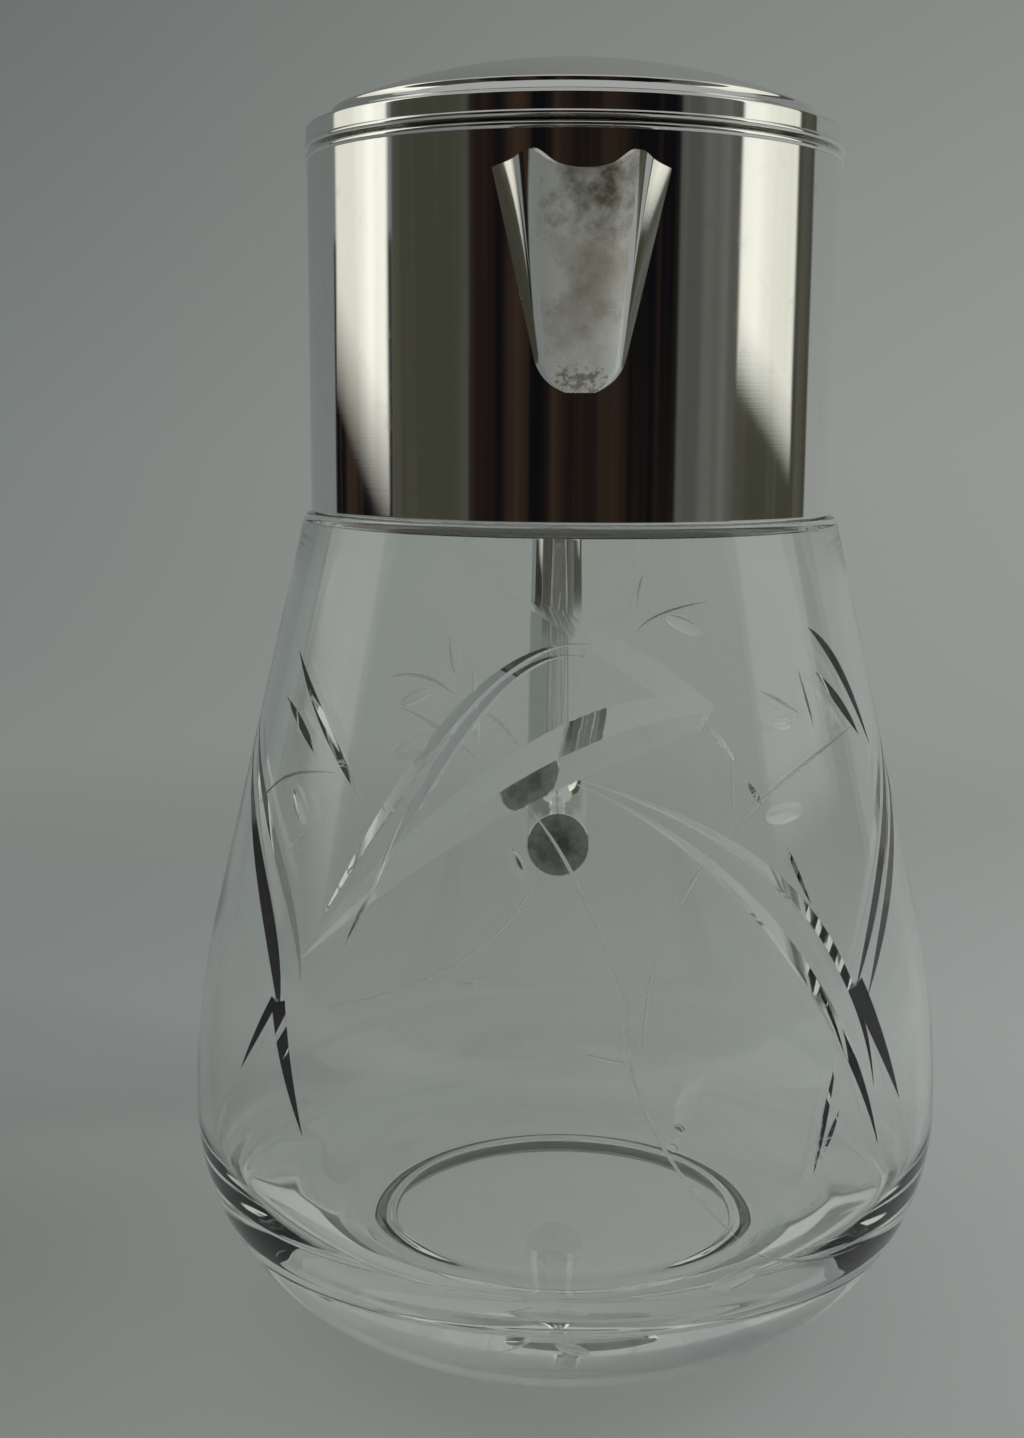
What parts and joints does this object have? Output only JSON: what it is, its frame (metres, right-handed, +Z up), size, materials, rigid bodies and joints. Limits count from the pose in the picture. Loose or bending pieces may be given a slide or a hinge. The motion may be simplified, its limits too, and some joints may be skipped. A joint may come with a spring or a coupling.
{
  "type": "cocktail pitcher",
  "caption": "Clear cut-glass pitcher with a silver-plated collar, beak spout, tubular handle and hinged domed lid, for mixing and pouring cold drinks.",
  "frame": {"origin": "on the jug's axis, in the plane of its base on the table", "axes": "+Z up along the jug's axis, -Y towards the spout, +Y towards the handle"},
  "size_m": [0.154, 0.1899, 0.2518],
  "materials": {
    "clear_glass": "clear, faintly green, polished, with ground cuts",
    "silver_plate": "polished silver plate",
    "dull_silver": "unpolished, tarnished",
    "plaster": "matt plaster"
  },
  "bodies": {
    "jug": {"glass_body": "clear_glass", "neck_plaster": "plaster", "collar": "silver_plate", "rim_ring": "silver_plate", "spout": "silver_plate", "handle_tube": "silver_plate", "handle_end_cap": "dull_silver", "hinge_bracket": "silver_plate", "hinge_pin": "silver_plate"},
    "lid": {"lid_dome": "silver_plate", "lid_liner": "silver_plate", "lid_hinge_leaf": "silver_plate", "thumb_piece": "silver_plate"}
  },
  "joints": [
    {"name": "lid_hinge", "type": "hinge", "parent": "jug", "child": "lid", "pos_m": [0, 0.0575, 0.2349], "axis": [-1, 0, 0], "range_deg": [0, 100]}
  ]
}
